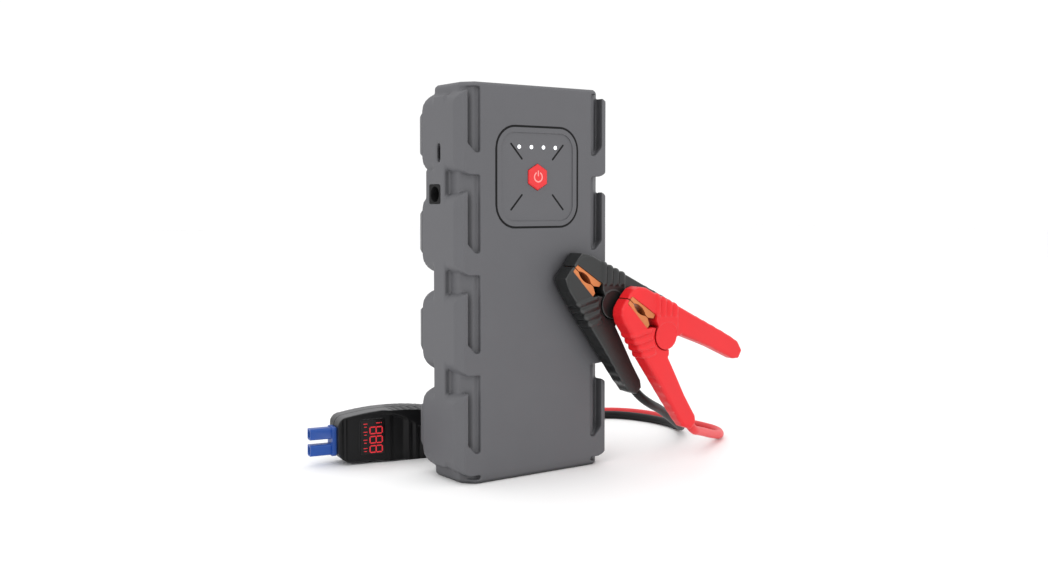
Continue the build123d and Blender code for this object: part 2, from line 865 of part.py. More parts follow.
with BuildPart() as box_screws:
    with BuildSketch(box_at(box_half_thickness - 0.4)):
        with Locations(*box_screw_points):
            Circle(2.0)
    extrude(amount=1.0)
    with BuildSketch(box_at(box_half_thickness - 1.2)):
        with Locations(*box_screw_points):
            Circle(1.1)
    extrude(amount=13)
    with BuildSketch(box_at(box_half_thickness - 0.4)):
        with Locations(*box_screw_points):
            RegularPolygon(0.9, 6)
    extrude(amount=0.7, mode=Mode.SUBTRACT)
write(box_screws, "box_screws")


def across_box(x):
    """A plane across the box, facing its lead end; its own X to the rear of the box."""
    return Plane(origin=box_point(x, 0, 0), x_dir=-box_side, z_dir=box_dir)


barrel_points = [(0, plug_z - jump_pitch / 2), (0, plug_z + jump_pitch / 2)]
barrel_length = 12.8
plug_flange = 2.4
with BuildPart() as plug_housing:
    with BuildSketch(across_box(-plug_flange)):
        with Locations((0, plug_z)):
            RectangleRounded(plug_depth, plug_width, 1.4)
    extrude(amount=plug_flange)
    with BuildSketch(across_box(0)):
        with Locations((0, plug_z)):
            Rectangle(plug_depth - 1.6, plug_width - 2.4)
    extrude(amount=7)
    with BuildSketch(across_box(-plug_flange - barrel_length)):
        with Locations(*barrel_points):
            RectangleRounded(barrel, barrel, 1.1)
    extrude(amount=barrel_length)
    with BuildSketch(across_box(-plug_flange - barrel_length - 1)):
        with Locations(*barrel_points):
            Circle(2.7)
    extrude(amount=barrel_length + 1, mode=Mode.SUBTRACT)
write(plug_housing, "plug_housing")

with BuildPart() as plug_contacts:
    with BuildSketch(across_box(-plug_flange - barrel_length + 1.5)):
        with Locations(*barrel_points):
            Circle(2.7)
    extrude(amount=barrel_length - 1.5)
    with BuildSketch(across_box(-plug_flange - barrel_length + 1.4)):
        with Locations(*barrel_points):
            Circle(2.1)
    extrude(amount=9, mode=Mode.SUBTRACT)
write(plug_contacts, "plug_contacts")

boot_length = 10.0
with BuildPart() as lead_boot:
    with BuildSketch(across_box(box_length - 4)):
        with Locations((0, boot_z)):
            Rectangle(14.8, 9.4)
    extrude(amount=2)
    with BuildSketch(across_box(box_length - 3)):
        with Locations((0, boot_z)):
            Rectangle(11.8, 8.8)
    extrude(amount=4)
    with BuildSketch(across_box(box_length)):
        with Locations((0, boot_z)):
            RectangleRounded(17, 12, 3)
    with BuildSketch(across_box(box_length + boot_length)):
        with Locations((0, boot_z)):
            RectangleRounded(13.6, 7.0, 2.8)
    loft()
write(lead_boot, "lead_boot")

# ---------------------------------------------------------------- clamps
# Both clamps share one design and hang parallel to the pack's front. It is drawn in a plane whose
# X points to the handles, sloping down, and whose Y points from the lead arm to the free arm.
clamp_x_dir = Vector(math.cos(math.radians(clamp_slope)), 0, -math.sin(math.radians(clamp_slope)))
clamp_normal = Vector(0, -1, 0)
jaw_seat = [(-7.6, 0.25), (-11.5, 2.2), (-14.0, 5.0), (-35.0, 2.5), (-35.0, 0.25), (-36.4, 0.25)]
nose = [(-36.7, 2.8), (-36.1, 7.2), (-34.0, 10.4), (-29.5, 13.1)]
back = [(-20, 15.4), (-3.5, 19.9), (13, 24.0), (27.5, 27.9), (40, 31.2), (48.6, 32.8)]
handle_end = [(54.9, 30.4), (55.7, 25.0)]
handle_inside = [(52.2, 22.0), (36, 17.3), (10.4, 8.2), (7.4, 4.4), (7.0, 0.25)]
arm_outline = jaw_seat + nose + back + handle_end + handle_inside
handle_run = Vector(0.97, 0.25)
plate_front = [(-14.0, 5.0), (-35.0, 2.5), (-35.0, 0.2), (-31.5, 0.2)]
plate_arch = (-25.5, 1.9)
plate_tail = [(-20.0, 0.2), (-17.5, 0.2), (-14.0, 2.3)]


def flipped(points, sign):
    return [(x, sign * y) for x, y in points]


def grown(points, growth):
    """The outline with its handle made longer or shorter by this much."""
    moved = []
    for x, y in points:
        share = growth if x > handle_foot_x else 0
        moved.append((x + handle_run.X * share, y + handle_run.Y * share))
    return moved


def disc(plane, radius, low, high):
    """A round slice about the pivot, between two heights over the clamp's plane."""
    with BuildPart() as slice_of_pivot:
        with BuildSketch(plane.offset(low)):
            Circle(radius)
        extrude(amount=high - low)
    return slice_of_pivot.part


def jaw_plate(plane, sign):
    with BuildPart() as plate:
        with BuildSketch(plane.offset(-plate_half)):
            with BuildLine():
                front = Polyline(*flipped(plate_front, sign))
                tail = flipped(plate_tail, sign)
                ThreePointArc(front @ 1, flipped([plate_arch], sign)[0], tail[0])
                Polyline(*tail, front @ 0)
            make_face()
        extrude(amount=2 * plate_half)
    return plate


# The lead meets the middle of the lead arm's end face and leaves square to it.
lead_starts = {}
for colour, pivot in clamp_pivots.items():
    plane = Plane(origin=pivot, x_dir=clamp_x_dir, z_dir=clamp_normal)
    outline = grown(arm_outline, handle_growth[colour])
    end_high, end_low = (Vector(x, -y) for x, y in grown(handle_end, handle_growth[colour]))
    lead_exit = (end_high + end_low) / 2
    lead_away = Vector(end_low.Y - end_high.Y, end_high.X - end_low.X).normalized()
    lead_starts[colour] = [tuple(plane.from_local_coords(lead_exit + lead_away * reach))
                           for reach in (exit_reach, 0)]

    with BuildPart() as free_arm:
        with BuildSketch(plane.offset(-arm_half)):
            with BuildLine():
                Polyline(*outline, close=True)
            make_face()
        extrude(amount=2 * arm_half)
        cheek_floor = lug_half + lug_play
        add(disc(plane, slot_radius, -cheek_floor, cheek_floor), mode=Mode.SUBTRACT)
        for low in (-cheek_half, cheek_floor):
            add(disc(plane, cheek_radius, low, low + cheek_half - cheek_floor))
        add(disc(plane, pivot_radius + 0.05, -cheek_half + 0.6, cheek_half - 0.6),
            mode=Mode.SUBTRACT)
    write(free_arm, f"{colour}_free_arm")

    with BuildPart() as lead_arm:
        with BuildSketch(plane.offset(-arm_half)):
            with BuildLine():
                Polyline(*flipped(outline, -1), close=True)
            make_face()
        extrude(amount=2 * arm_half)
        for low in (-arm_half - 1, lug_half):
            add(disc(plane, cheek_slot_radius, low, low + arm_half + 1 - lug_half),
                mode=Mode.SUBTRACT)
        add(disc(plane, lug_radius, -lug_half, lug_half))
        add(disc(plane, spring_pocket_radius, -spring_pocket_half, spring_pocket_half),
            mode=Mode.SUBTRACT)
        add(disc(plane, pivot_radius, -lug_half - 1, lug_half + 1), mode=Mode.SUBTRACT)
    write(lead_arm, f"{colour}_lead_arm")

    with BuildPart() as pivot_pin:
        add(disc(plane, pivot_radius, -cheek_half + 0.7, cheek_half - 0.7))
    write(pivot_pin, f"{colour}_pivot_pin")

    for sign, which in ((1, "free"), (-1, "lead")):
        write(jaw_plate(plane, sign), f"{colour}_{which}_jaw")

    with BuildPart() as spring:
        with BuildLine():
            coil = Helix(pitch=1.5, height=4.5, radius=3.9, center=(0, 0, -2.25))
        with BuildSketch(Plane(origin=coil @ 0, z_dir=coil % 0)):
            Circle(0.55)
        sweep(is_frenet=True)
    spring.part.locate(plane.location)
    write(spring, f"{colour}_spring")
    print(colour, "lead starts", [tuple(round(v, 2) for v in p) for p in lead_starts[colour]])

# ---------------------------------------------------------------- leads, from the box to the clamps
black_route = [
    box_point(box_length + boot_length, -lead_spread, boot_z),
    (24, 45.6, 9.0), (45, 49.5, lead_z), (68, 63, lead_z), (93, 79, lead_z),
    (121, 90, lead_z), (143, 86, lead_z), (154, 68, lead_z), (157, 45, lead_z),
    (151.5, 21, lead_z), (135, 4, 7.0), (112, -10.5, 17), (91, -22, 27), (77.5, -29.0, 33.6),
    *lead_starts["black"],
]
red_route = [
    box_point(box_length + boot_length, lead_spread, boot_z),
    (26, 54.0, 8.0), (47, 61.5, lead_z), (69, 76, lead_z), (95, 92, lead_z),
    (124, 102, lead_z), (149, 98, lead_z), (164, 80, lead_z), (168, 58, lead_z),
    (167, 37, lead_z), (168, 16, lead_z), (166, -2, lead_z), (156, -14.5, lead_z),
    (140, -23.5, 6.5), (123, -33, 11.5), (110, -40.5, 15.2),
    *lead_starts["red"],
]
tube(black_route, lead_diameter, "black_lead")
tube(red_route, lead_diameter, "red_lead")
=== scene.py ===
import json
import math

import bmesh
import bpy
import numpy as np
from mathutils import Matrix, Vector


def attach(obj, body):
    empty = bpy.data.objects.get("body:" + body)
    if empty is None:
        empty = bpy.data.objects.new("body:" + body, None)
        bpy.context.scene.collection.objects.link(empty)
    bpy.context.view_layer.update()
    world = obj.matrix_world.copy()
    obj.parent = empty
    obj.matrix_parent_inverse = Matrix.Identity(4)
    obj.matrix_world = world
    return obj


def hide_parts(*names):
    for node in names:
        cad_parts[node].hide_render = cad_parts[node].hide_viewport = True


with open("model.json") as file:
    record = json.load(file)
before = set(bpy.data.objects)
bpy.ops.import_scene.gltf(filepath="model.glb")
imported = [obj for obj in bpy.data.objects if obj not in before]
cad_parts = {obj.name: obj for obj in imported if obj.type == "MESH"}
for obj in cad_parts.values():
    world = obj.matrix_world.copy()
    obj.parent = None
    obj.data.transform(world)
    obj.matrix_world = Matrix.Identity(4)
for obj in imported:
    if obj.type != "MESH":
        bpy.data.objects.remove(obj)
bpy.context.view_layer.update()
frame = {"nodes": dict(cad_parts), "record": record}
nodes = frame["nodes"]
scene = bpy.context.scene
MM = 0.001
weld_gap = 0.004  # points of the CAD meshes nearer than this, in mm, are one point
sharp_turn = 28  # CAD faces that meet at more degrees than this have an edge between them
# How fine the moulded skins are, in millimetres.
casing_voxel = 0.62
arm_voxel = 0.45
plate_voxel = 0.2
box_voxel = 0.45


# ---------------------------------------------------------------- camera and light
camera = bpy.data.objects.new("camera", bpy.data.cameras.new("camera"))
scene.collection.objects.link(camera)
scene.camera = camera
camera.data.sensor_width = 36
camera.data.lens = 39.12
camera.data.shift_y = -0.0365
camera_down, camera_right = 2.2, 35.46  # degrees from level and from the pack's front
camera.location = (-0.3822, -0.5466, 0.1555)
camera.rotation_euler = (math.radians(90 - camera_down), 0, math.radians(-camera_right))
camera.data.clip_start = 0.01
camera.data.clip_end = 50

scene.view_settings.view_transform = "Standard"
scene.view_settings.look = "None"

world = bpy.data.worlds.new("studio")
scene.world = world
world.use_nodes = True
sky = world.node_tree.nodes["Background"]
sky.inputs["Color"].default_value = (1, 1, 1, 1)
sky.inputs["Strength"].default_value = 1.05


def area_light(name, place, target, size, power):
    """A soft rectangular light in metres and watts that faces its target."""
    data = bpy.data.lights.new(name, "AREA")
    data.shape = "RECTANGLE"
    data.size, data.size_y = size
    data.energy = power
    light = bpy.data.objects.new(name, data)
    scene.collection.objects.link(light)
    light.location = place
    light.rotation_euler = (Vector(target) - Vector(place)).to_track_quat("-Z", "Y").to_euler()


middle = (0.0, 0.0, 0.1)
area_light("key_light", (-1.3, -0.6, 1.1), middle, (1.2, 1.2), 6)
area_light("fill_light", (0.5, -1.6, 0.8), middle, (1.6, 1.0), 3)
area_light("top_light", (0.1, 0.2, 1.7), middle, (1.4, 1.4), 4)


# ---------------------------------------------------------------- materials
def add_node(tree, kind, **settings):
    node = tree.nodes.new("ShaderNode" + kind)
    for key, value in settings.items():
        setattr(node, key, value)
    return node


def material(name, colour, roughness, grain=2600, bump=0.02, spread=0.05, rough_spread=0.06,
             painted_edge_highlight=0.0, painted_cavity_shade=0.0, reach=6.0, painted_upward_light=0.0, **shader):
    """A procedural finish: uneven colour and roughness, a fine grain, painted highlights on edges,
    painted shade in hollows.

    Painted shade darkens hollows narrower than the reach, in millimetres. Painted light makes the
    faces that look upwards paler, standing in for the light from above.
    """
    made = bpy.data.materials.new(name)
    made.use_nodes = True
    tree = made.node_tree
    link = tree.links.new
    surface = tree.nodes["Principled BSDF"]
    for socket, value in shader.items():
        surface.inputs[socket.replace("_", " ")].default_value = value
    coordinates = add_node(tree, "TexCoord")
    clouds = add_node(tree, "TexNoise")
    clouds.inputs["Scale"].default_value = grain / 60
    clouds.inputs["Detail"].default_value = 4
    link(coordinates.outputs["Object"], clouds.inputs["Vector"])
    tint = add_node(tree, "ValToRGB")
    tint.color_ramp.elements[0].position = 0.3
    tint.color_ramp.elements[1].position = 0.7
    tint.color_ramp.elements[0].color = (*[c * (1 - spread) for c in colour], 1)
    tint.color_ramp.elements[1].color = (*[min(1, c * (1 + spread)) for c in colour], 1)
    link(clouds.outputs["Fac"], tint.inputs["Fac"])
    base = tint.outputs["Color"]
    # Painted highlight: sharp edges are mixed towards a paler colour.
    if painted_edge_highlight:
        bend = add_node(tree, "NewGeometry")
        highlight_rim = add_node(tree, "MapRange")
        highlight_rim.inputs["From Min"].default_value = 0.52
        highlight_rim.inputs["From Max"].default_value = 0.62
        highlight_rim.inputs["To Max"].default_value = painted_edge_highlight
        link(bend.outputs["Pointiness"], highlight_rim.inputs["Value"])
        mix = add_node(tree, "Mix", data_type="RGBA")
        link(highlight_rim.outputs["Result"], mix.inputs["Factor"])
        link(base, mix.inputs["A"])
        mix.inputs["B"].default_value = (*[c + (1 - c) * 0.35 for c in colour], 1)
        base = mix.outputs["Result"]
    # Painted shade: ambient occlusion darkens the colour in hollows.
    if painted_cavity_shade:
        occlusion_node = add_node(tree, "AmbientOcclusion")
        occlusion_node.samples = 8
        occlusion_node.inputs["Distance"].default_value = reach * MM
        shade = add_node(tree, "MapRange")
        shade.inputs["From Min"].default_value = 0.25
        shade.inputs["From Max"].default_value = 0.85
        shade.inputs["To Min"].default_value = 1 - painted_cavity_shade
        shade.inputs["To Max"].default_value = 1
        link(occlusion_node.outputs["AO"], shade.inputs["Value"])
        darker = add_node(tree, "Mix", data_type="RGBA", blend_type="MULTIPLY")
        darker.inputs["Factor"].default_value = 1
        link(base, darker.inputs["A"])
        link(shade.outputs["Result"], darker.inputs["B"])
        base = darker.outputs["Result"]
    # Painted light: faces that look upwards are mixed towards a pale grey, as if lit from above.
    if painted_upward_light:
        facing = add_node(tree, "NewGeometry")
        axes = add_node(tree, "SeparateXYZ")
        link(facing.outputs["Normal"], axes.inputs["Vector"])
        upward = add_node(tree, "MapRange")
        upward.inputs["From Min"].default_value = 0.25
        upward.inputs["From Max"].default_value = 0.95
        upward.inputs["To Max"].default_value = painted_upward_light
        link(axes.outputs["Z"], upward.inputs["Value"])
        upward_light_mix = add_node(tree, "Mix", data_type="RGBA")
        link(upward.outputs["Result"], upward_light_mix.inputs["Factor"])
        link(base, upward_light_mix.inputs["A"])
        upward_light_mix.inputs["B"].default_value = (0.32, 0.32, 0.33, 1)
        base = upward_light_mix.outputs["Result"]
    link(base, surface.inputs["Base Color"])
    gloss = add_node(tree, "MapRange")
    gloss.inputs["To Min"].default_value = roughness - rough_spread
    gloss.inputs["To Max"].default_value = roughness + rough_spread
    link(clouds.outputs["Fac"], gloss.inputs["Value"])
    link(gloss.outputs["Result"], surface.inputs["Roughness"])
    grit = add_node(tree, "TexNoise")
    grit.inputs["Scale"].default_value = grain
    grit.inputs["Detail"].default_value = 3
    link(coordinates.outputs["Object"], grit.inputs["Vector"])
    relief = add_node(tree, "Bump")
    relief.inputs["Strength"].default_value = 0.6
    relief.inputs["Distance"].default_value = bump * MM
    link(grit.outputs["Fac"], relief.inputs["Height"])
    link(relief.outputs["Normal"], surface.inputs["Normal"])
    return made


finishes = {
    # Painted shade in the casing's hollows and pockets.
    "casing": material("casing", (0.095, 0.095, 0.103), 0.55, bump=0.03, spread=0.03,
                       painted_cavity_shade=0.55, reach=9),
    "control_inset": material("control_inset", (0.095, 0.095, 0.103), 0.5, bump=0.02, spread=0.03),
    "button_red": material("button_red", (0.72, 0.018, 0.022), 0.42, spread=0.04),
    "symbol_light": material("symbol_light", (0.85, 0.25, 0.24), 0.4, Emission_Strength=0.25,
                             Emission_Color=(1.0, 0.35, 0.32, 1)),
    "led_white": material("led_white", (0.95, 0.97, 1.0), 0.3, Emission_Strength=0.9,
                          Emission_Color=(0.93, 0.96, 1.0, 1)),
    "led_chip": material("led_chip", (0.85, 0.8, 0.5), 0.4),
    "circuit_board": material("circuit_board", (0.02, 0.13, 0.06), 0.35, spread=0.15),
    "switch_body": material("switch_body", (0.05, 0.05, 0.055), 0.4),
    "switch_plunger": material("switch_plunger", (0.6, 0.55, 0.4), 0.4),
    "cell_wrap": material("cell_wrap", (0.30, 0.32, 0.36), 0.3, Metallic=0.6),
    "inner_plastic": material("inner_plastic", (0.04, 0.04, 0.042), 0.5),
    "nickel": material("nickel", (0.62, 0.60, 0.56), 0.28, Metallic=1.0, spread=0.08),
    "foam": material("foam", (0.10, 0.10, 0.11), 0.9, grain=1500, bump=0.2),
    "capacitor_can": material("capacitor_can", (0.05, 0.07, 0.20), 0.3),
    "chip_black": material("chip_black", (0.02, 0.02, 0.02), 0.45),
    "ferrite": material("ferrite", (0.06, 0.06, 0.065), 0.6),
    "port_shell": material("port_shell", (0.10, 0.10, 0.11), 0.35, Metallic=0.8),
    "jack_black": material("jack_black", (0.003, 0.003, 0.0035), 0.60, Specular_IOR_Level=0.2),
    "contact_metal": material("contact_metal", (0.72, 0.66, 0.50), 0.25, Metallic=1.0),
    "socket_blue": material("socket_blue", (0.025, 0.08, 0.48), 0.35),
    "flap_rubber": material("flap_rubber", (0.090, 0.090, 0.097), 0.6, bump=0.03),
    "pin_steel": material("pin_steel", (0.50, 0.50, 0.52), 0.3, Metallic=1.0),
    "screws": material("screws", (0.05, 0.05, 0.052), 0.35, Metallic=0.9),
    "wire_red": material("wire_red", (0.55, 0.02, 0.02), 0.45),
    "wire_black": material("wire_black", (0.02, 0.02, 0.02), 0.45),
    "lead_red": material("lead_red", (0.72, 0.02, 0.026), 0.42, grain=1400, bump=0.02),
    "lead_black": material("lead_black", (0.004, 0.004, 0.0045), 0.42, grain=1400, bump=0.02,
                           Specular_IOR_Level=0.25),
    # Painted highlights on the plug's edges.
    "plug_blue": material("plug_blue", (0.012, 0.070, 0.33), 0.40, painted_edge_highlight=0.2,
                          Specular_IOR_Level=0.35),
    # Painted highlights on edges, painted shade in hollows and painted light on upward faces.
    "box_charcoal": material("box_charcoal", (0.0045, 0.0045, 0.005), 0.42, bump=0.03, painted_edge_highlight=0.12,
                             painted_cavity_shade=0.5, reach=6, painted_upward_light=0.30, Specular_IOR_Level=0.22),
    "display_smoke": material("display_smoke", (0.003, 0.002, 0.002), 0.16, Coat_Weight=0.15,
                              Coat_Roughness=0.05, Specular_IOR_Level=0.2),
    "display_red": material("display_red", (0.55, 0.01, 0.018), 0.4, Emission_Strength=0.32,
                            Emission_Color=(0.9, 0.02, 0.04, 1)),
    "boot_rubber": material("boot_rubber", (0.02, 0.02, 0.021), 0.55),
    # Both clamps get painted highlights on their edges and painted shade in their hollows.
    "clamp_red": material("clamp_red", (0.74, 0.013, 0.018), 0.38, bump=0.015, spread=0.03,
                          painted_edge_highlight=0.2, painted_cavity_shade=0.5, reach=4, Specular_IOR_Level=0.38),
    "clamp_black": material("clamp_black", (0.013, 0.014, 0.014), 0.34, bump=0.015, spread=0.08,
                            painted_edge_highlight=0.25, painted_cavity_shade=0.5, reach=4),
    "jaw_copper": material("jaw_copper", (0.60, 0.20, 0.07), 0.34, Metallic=0.65, spread=0.12),
    "spring_steel": material("spring_steel", (0.45, 0.45, 0.47), 0.3, Metallic=1.0),
}


# ---------------------------------------------------------------- carried-over CAD nodes
slot_of = {part["node"]: part["material_slot"] for part in frame["record"]["subparts"]}
for name, node in nodes.items():
    node.data.materials.clear()
    node.data.materials.append(finishes[slot_of[name]])


def soften(node, width, segments=2):
    """Rounds a CAD node's edges with modifiers, which leave its mesh as it is."""
    weld = node.modifiers.new("weld", "WELD")
    weld.merge_threshold = weld_gap * MM
    bevel = node.modifiers.new("bevel", "BEVEL")
    bevel.width = width * MM
    bevel.segments = segments
    bevel.limit_method = "ANGLE"
    bevel.angle_limit = math.radians(sharp_turn)
    bevel.use_clamp_overlap = True
    bevel.harden_normals = True


for name in ("control_panel", "jump_port_cover", "dc_jack", "usb_c_port", "lead_boot"):
    soften(nodes[name], 0.3)
soften(nodes["plug_housing"], 0.45, segments=3)


# ---------------------------------------------------------------- moulded copies of CAD nodes
def welded(node):
    """A copy of a CAD node's mesh whose faces share their points."""
    shape = bmesh.new()
    shape.from_mesh(node.data)
    bmesh.ops.remove_doubles(shape, verts=shape.verts, dist=weld_gap * MM)
    mesh = bpy.data.meshes.new(node.name + "_copy")
    shape.to_mesh(mesh)
    shape.free()
    return mesh


def with_modifiers(obj):
    """Replaces obj's mesh by what its modifiers make of it."""
    result = bpy.data.meshes.new_from_object(
        obj.evaluated_get(bpy.context.evaluated_depsgraph_get()))
    obj.modifiers.clear()
    obj.data = result
    return obj


def smooth(obj, times):
    """Eases obj's edges by drawing each point towards its neighbours, this many times."""
    modifier = obj.modifiers.new("smooth", "SMOOTH")
    modifier.factor = 0.5
    modifier.iterations = times
    return with_modifiers(obj)


def moulded(name, mesh, voxel, rounds):
    """The mesh as one even skin, fine enough to carve, its edges eased by this many rounds."""
    obj = bpy.data.objects.new(name, mesh)
    scene.collection.objects.link(obj)
    remesh = obj.modifiers.new("skin", "REMESH")
    remesh.mode = "VOXEL"
    remesh.voxel_size = voxel * MM
    with_modifiers(obj)
    return smooth(obj, rounds)


def points_of(mesh):
    """The mesh's points and the normals there, in millimetres."""
    place = np.empty(len(mesh.vertices) * 3)
    mesh.vertices.foreach_get("co", place)
    normal = np.empty(len(mesh.vertices) * 3)
    mesh.vertices.foreach_get("normal", normal)
    return place.reshape(-1, 3) / MM, normal.reshape(-1, 3)


def set_points(mesh, place):
    """Moves the mesh's points to these places, in millimetres."""
    mesh.vertices.foreach_set("co", (place * MM).ravel())
    mesh.update()


def step(value, low, high):
    """0 below low, 1 above high, and a smooth rise between."""
    t = np.clip((value - low) / (high - low), 0, 1)
    return t * t * (3 - 2 * t)


def between(value, rise, fall):
    """0 below the rise, 1 from there on, and 0 again beyond the fall."""
    return step(value, *rise) * (1 - step(value, *fall))


def close_slab(shape, rims):
    """Joins two rims of points in a bmesh into a closed slab."""
    shape.faces.new(rims[0])
    shape.faces.new(list(reversed(rims[1])))
    for k in range(len(rims[0])):
        shape.faces.new((rims[0][k - 1], rims[1][k - 1], rims[1][k], rims[0][k]))


def fixed_piece(name, shape, slot):
    """A new piece of the root body, made from a bmesh."""
    bmesh.ops.recalc_face_normals(shape, faces=shape.faces)
    mesh = bpy.data.meshes.new(name)
    shape.to_mesh(mesh)
    shape.free()
    obj = bpy.data.objects.new(name, mesh)
    scene.collection.objects.link(obj)
    obj.data.materials.append(finishes[slot])
    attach(obj, "root")


def finished(obj, body, slot, *stood_for):
    """Gives a moulded piece its finish and its body, and hides the CAD nodes it stands for."""
    obj.data.materials.clear()
    obj.data.materials.append(finishes[slot])
    obj.data.shade_smooth()
    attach(obj, body)
    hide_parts(*stood_for)


# ---------------------------------------------------------------- casing
for which in ("front", "rear"):
    cover_node = f"{which}_cover"
    cover = moulded(f"{which}_casing", welded(nodes[cover_node]), casing_voxel, rounds=5)
    finished(cover, "root", "casing", cover_node)

# Black pieces of painted shade: a ring in the seam round the control inset, and strips in its four
# grooves.
inset_z = 170.2
front_y = -23.6


def rounded_square(size, radius, steps=10):
    """The outline of a square with round corners about its middle."""
    outline = []
    for corner in range(4):
        turn_start = math.pi / 2 * corner
        cx = (size / 2 - radius) * (1 if corner in (0, 3) else -1)
        cz = (size / 2 - radius) * (1 if corner in (0, 1) else -1)
        for k in range(steps + 1):
            angle = turn_start + math.pi / 2 * k / steps
            outline.append((cx + radius * math.cos(angle), cz + radius * math.sin(angle)))
    return outline


# The seam's section: the size of the rounded square there, and the depth behind the pack's front.
inset_size = 57.2
inset_radius = 13
seam_profile = [(55.6, 0.9), (55.6, -0.02), (56.1, -0.10), (57.4, -0.10), (57.9, -0.02),
                (57.9, 0.9)]
seam = bmesh.new()
seam_rings = []
for size, depth in seam_profile:
    corner_line = rounded_square(size, inset_radius - (inset_size - size) / 2)
    seam_rings.append([seam.verts.new(Vector((x, front_y + depth, inset_z + z)) * MM)
                       for x, z in corner_line])
for inner, outer in zip(seam_rings, seam_rings[1:] + seam_rings[:1]):
    for k in range(len(inner)):
        seam.faces.new((inner[k - 1], inner[k], outer[k], outer[k - 1]))
# A near-black ring standing in for the shade in the seam's gap.
fixed_piece("inset_seam_painted_shade", seam, "jack_black")


def round_ended(length, width, steps=8):
    """A bar's outline with round ends, along its own first axis."""
    outline = []
    for end in (1, -1):
        for k in range(steps + 1):
            angle = math.pi * (k / steps - 0.5)
            outline.append((end * ((length - width) / 2 + width / 2 * math.cos(angle)),
                            end * width / 2 * math.sin(angle)))
    return outline


# The black strips of painted groove shade run towards the inset's corners, a hair proud of its
# face.
inset_face_y = front_y + 0.5
groove_shade_x, groove_shade_z = 14.5, 14.3
groove_shade_angle = 48
groove_shade_size = (12.2, 1.1)
groove_shade_depth = 0.3
groove_shade_proud = 0.03
for k, (side, rise) in enumerate(((1, 1), (1, -1), (-1, 1), (-1, -1))):
    lean = math.radians(side * rise * groove_shade_angle)
    outline = [(side * groove_shade_x + u * math.cos(lean) - v * math.sin(lean),
                inset_z + rise * groove_shade_z + u * math.sin(lean) + v * math.cos(lean))
               for u, v in round_ended(*groove_shade_size)]
    groove_shade_strip = bmesh.new()
    high_y = inset_face_y - groove_shade_proud
    close_slab(groove_shade_strip, [[groove_shade_strip.verts.new(Vector((x, y, z)) * MM) for x, z in outline]
                       for y in (high_y + groove_shade_depth, high_y)])
    # Each near-black strip stands in for the shade in a groove.
    fixed_piece(f"groove_inlay_{k + 1}", groove_shade_strip, "jack_black")


# ---------------------------------------------------------------- clamps
# The clamp's own axes: X to the handles, Y from the lead arm to the free arm, Z to the viewer.
slope = math.radians(39.6)
clamp_axes = np.array([
    (math.cos(slope), 0, -math.sin(slope)),
    (math.sin(slope), 0, math.cos(slope)),
    (0, -1, 0),
])
pivots = {"red": (73.3, -45.4, 77.4), "black": (44.1, -31.2, 96.2)}
rib_pitch = 4.6
arm_half = 5.75
# The arm's outer edge from its tip round the nose, along the back and up the inside.
arm_edge = [(-36.5, -6.0), (-36.7, 2.8), (-36.1, 7.2), (-34.0, 10.4), (-29.5, 13.1), (-20, 15.4),
            (-3.5, 19.9), (13, 24.0), (27.5, 27.9), (40, 31.2), (48.6, 32.8), (54.9, 30.4),
            (55.7, 25.0), (52.2, 22.0), (36, 17.3), (10.4, 8.2)]
# The black clamp's handles are shorter beyond this x, and the red free handle reaches further.
handle_growth = {"red": 0.0, "black": -4.5}
handle_foot_x = 38
handle_run = (0.97, 0.25)
free_handle_reach = (4.8, 1.1, 0)
# The ribs lie askew to the arm: the cosine and sine of their lean.
lean_cos, lean_sin = 0.8, 0.6
# The black arms' noses are blunt: this slab fills them out.
black_nose = [(-36.7, 1.0), (-36.9, 9.4), (-29.5, 13.1), (-20.0, 15.4), (-22.0, 8.0), (-34.5, 4.0)]


def prism(mesh, outline, half, pivot, side):
    """Adds a slab with this outline, in the clamp's axes, to the mesh."""
    shape = bmesh.new()
    shape.from_mesh(mesh)
    rims = [[shape.verts.new((np.array((x, side * y, z)) @ clamp_axes + np.array(pivot)) * MM)
             for x, y in outline] for z in (-half, half)]
    if side < 0:
        rims.reverse()
    close_slab(shape, rims)
    shape.to_mesh(mesh)
    shape.free()


def distance_to(line, x, y):
    """How far each point is from a run of straight edges."""
    nearest = np.full(len(x), 1e9)
    for (ax, ay), (bx, by) in zip(line, line[1:]):
        run = (bx - ax, by - ay)
        share = ((x - ax) * run[0] + (y - ay) * run[1]) / (run[0] ** 2 + run[1] ** 2)
        share = np.clip(share, 0, 1)
        gap = np.hypot(x - ax - share * run[0], y - ay - share * run[1])
        nearest = np.minimum(nearest, gap)
    return nearest


def arm_line(growth):
    """The arm's outer edge with its handle made longer or shorter by this much."""
    return [(x + handle_run[0] * growth * (x > handle_foot_x),
             y + handle_run[1] * growth * (x > handle_foot_x)) for x, y in arm_edge]


